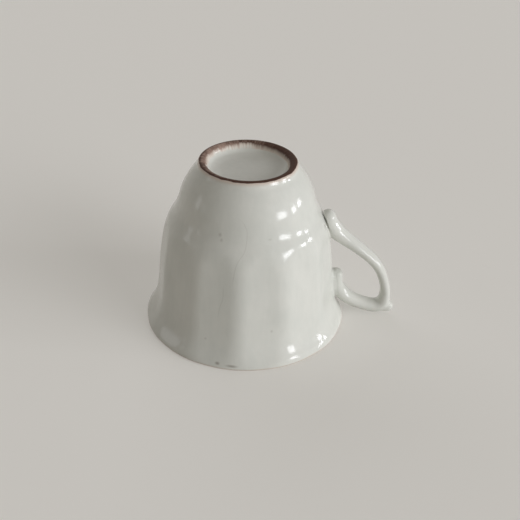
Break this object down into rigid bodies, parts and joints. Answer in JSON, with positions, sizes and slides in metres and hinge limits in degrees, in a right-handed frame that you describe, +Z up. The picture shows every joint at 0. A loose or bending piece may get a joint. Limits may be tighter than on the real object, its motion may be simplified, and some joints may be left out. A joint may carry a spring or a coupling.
{
  "type": "teacup",
  "caption": "Panelled bell-shaped teacup with a curled loop handle and a bare foot ring, standing upside down on its lip.",
  "frame": {"origin": "on the cup's axis, in the plane that the lip rests on", "axes": "+Z up through the foot ring, so the cup stands upside down on its lip as it is pictured; +X towards the handle. Turned half a turn about X or Y it stands on its foot ring"},
  "size_m": [0.1136, 0.09, 0.0767],
  "materials": {
    "glazed_bowl": "clear glaze over cream earthenware",
    "glazed_handle": "clear glaze over cream earthenware",
    "foot_ring_clay": "bare fired clay on the bearing edge, stained brown",
    "fired_slip": "fired slip"
  },
  "bodies": {
    "root": {"bowl": "glazed_bowl", "foot_slip": "fired_slip", "foot_ring": "foot_ring_clay", "handle": "glazed_handle", "upper_joint_slip": "fired_slip", "lower_joint_slip": "fired_slip"}
  },
  "joints": []
}
